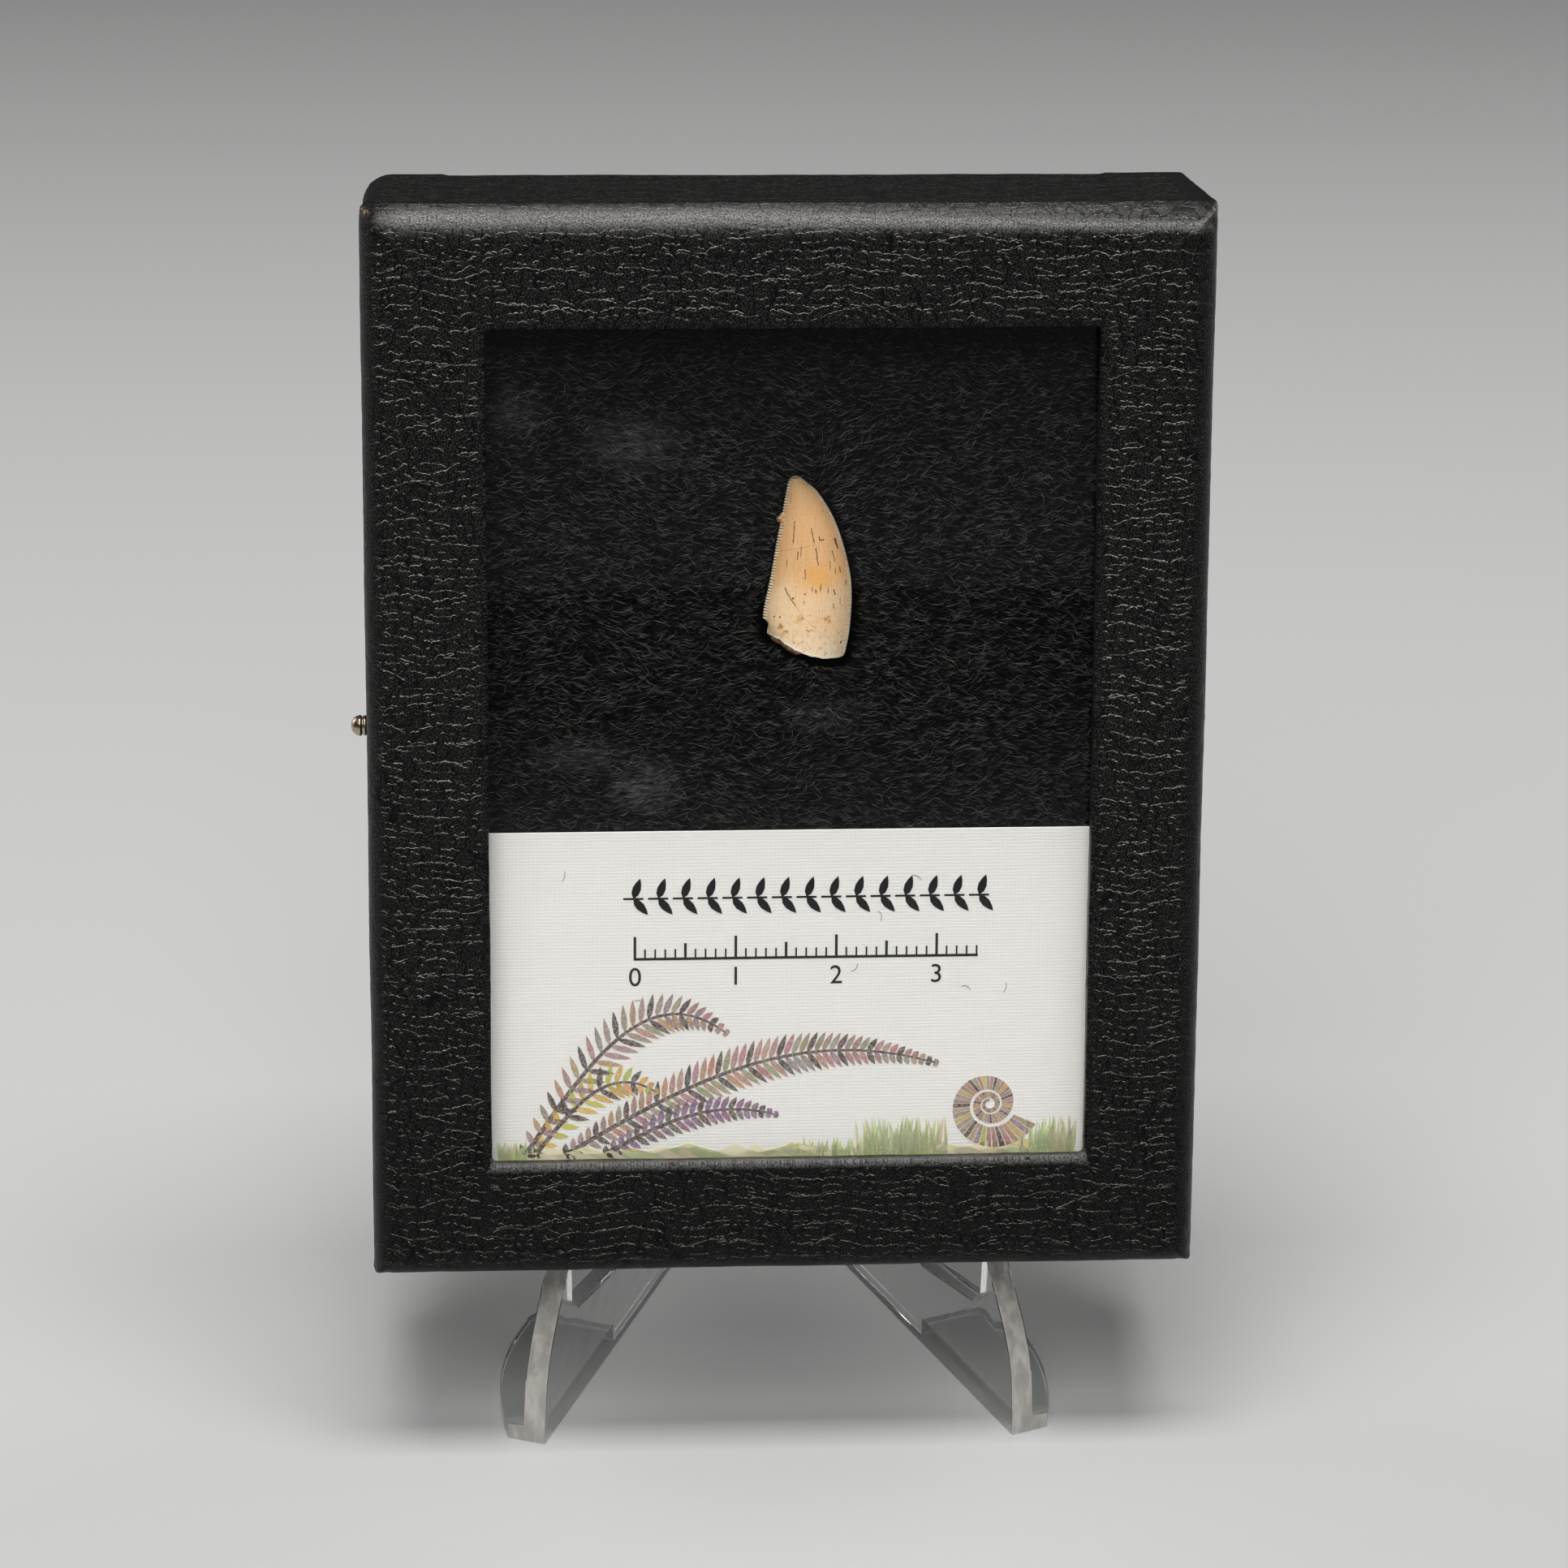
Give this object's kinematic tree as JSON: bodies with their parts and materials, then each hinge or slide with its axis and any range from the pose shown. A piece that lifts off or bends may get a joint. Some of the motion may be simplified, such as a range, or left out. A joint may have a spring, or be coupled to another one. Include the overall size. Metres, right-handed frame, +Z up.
{
  "type": "fossil tooth in a display box on an easel",
  "caption": "Serrated fossil tooth on black fibre behind the window of a small leatherette display box with a label card, leaning on a clear moulded easel.",
  "frame": {"origin": "on the surface the easel stands on, at the centre of the whole object's bounding box", "axes": "+Z up, -Y towards the viewer who faces the window, +X to that viewer's right"},
  "size_m": [0.0856, 0.0658, 0.1252],
  "materials": {
    "leatherette": "black grained paper leather over board, satin, creased and worn at the corners",
    "pane": "clear thin pane, slightly hazed inside",
    "board": "black paper-covered board, matte",
    "fibre": "black brushed fibre filling",
    "card": null,
    "fossil": "tan to cream fossil enamel, satin, finely striated, with dark cracks",
    "pin_steel": "polished steel with a warm tint",
    "acrylic": "clear moulded plastic, glossy, with lightly frosted edges"
  },
  "bodies": {
    "root": {"lid": "leatherette", "window_pane": "pane", "tray": "board", "filling": "fibre", "label_card": "card", "tooth": "fossil", "pin_left": "pin_steel", "pin_right": "pin_steel", "easel": "acrylic"}
  },
  "joints": []
}
